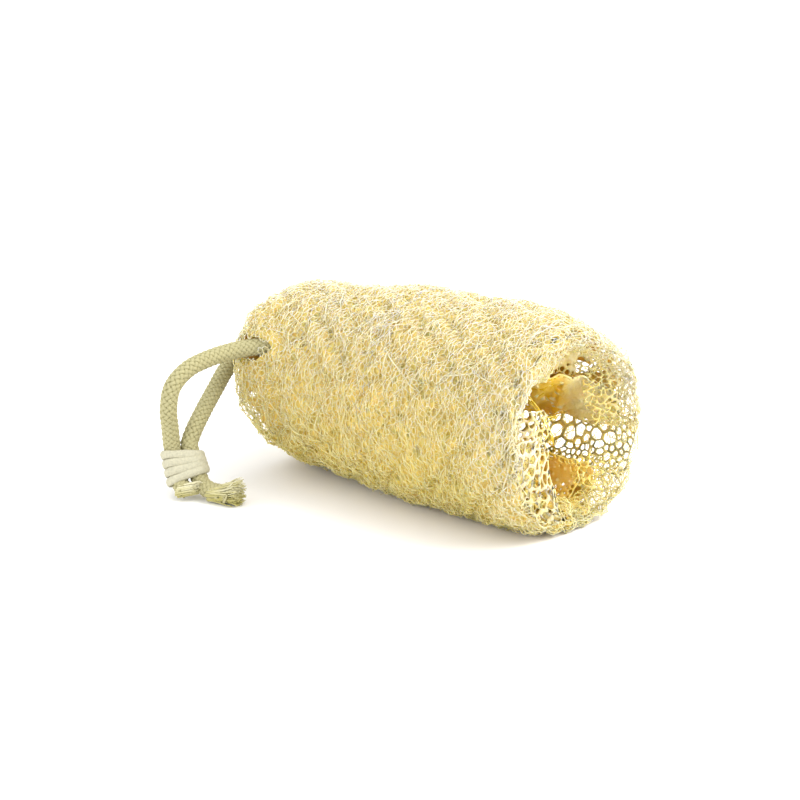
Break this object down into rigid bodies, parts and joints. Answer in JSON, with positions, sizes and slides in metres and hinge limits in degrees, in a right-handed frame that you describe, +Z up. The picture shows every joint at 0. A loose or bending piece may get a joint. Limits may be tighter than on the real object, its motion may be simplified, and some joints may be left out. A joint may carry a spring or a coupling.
{
  "type": "natural loofah sponge",
  "caption": "Natural loofah sponge, a cut length of dried fibrous gourd with an open mouth and seed chambers, hung on a bound loop of braided cotton cord.",
  "frame": {"origin": "bottom centre of the sponge's box, on the floor it rests on", "axes": "+X along the sponge towards its open mouth, +Z up, the cord loop at the -X end and on the -Y side"},
  "size_m": [0.137, 0.1027, 0.0707],
  "materials": {
    "sponge": "dry plant fibre, matt straw",
    "cord": "braided undyed cotton",
    "binding": "flat undyed cotton twine"
  },
  "bodies": {
    "root": {"sponge": "sponge", "cord": "cord", "binding": "binding"}
  },
  "joints": []
}
